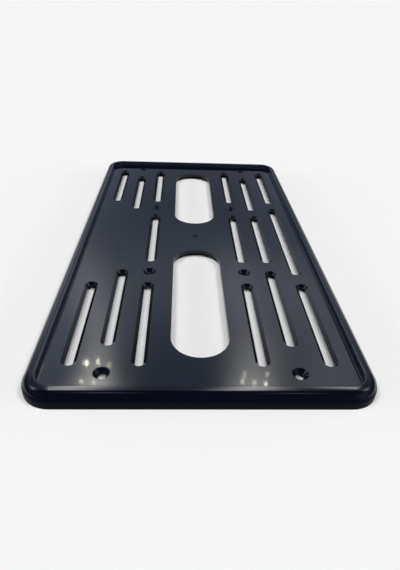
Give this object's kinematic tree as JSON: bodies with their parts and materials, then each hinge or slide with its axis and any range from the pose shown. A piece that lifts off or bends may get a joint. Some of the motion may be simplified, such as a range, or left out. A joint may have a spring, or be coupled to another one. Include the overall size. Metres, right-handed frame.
{
  "type": "number plate holder",
  "caption": "Shallow moulded tray with a raised rounded rim that frames a number plate, with rows of countersunk fixing slots and holes and large rounded windows in its floor.",
  "frame": {"origin": "middle of the footprint, on the plane of the rim's foot", "axes": "+X along the plate, +Y across it, +Z out of the floor towards the plate"},
  "size_m": [0.3222, 0.1682, 0.0086],
  "materials": {
    "black_plastic": "semi-gloss bluish black moulding with a faint orange peel"
  },
  "bodies": {
    "root": {"plate_holder": "black_plastic"}
  },
  "joints": []
}
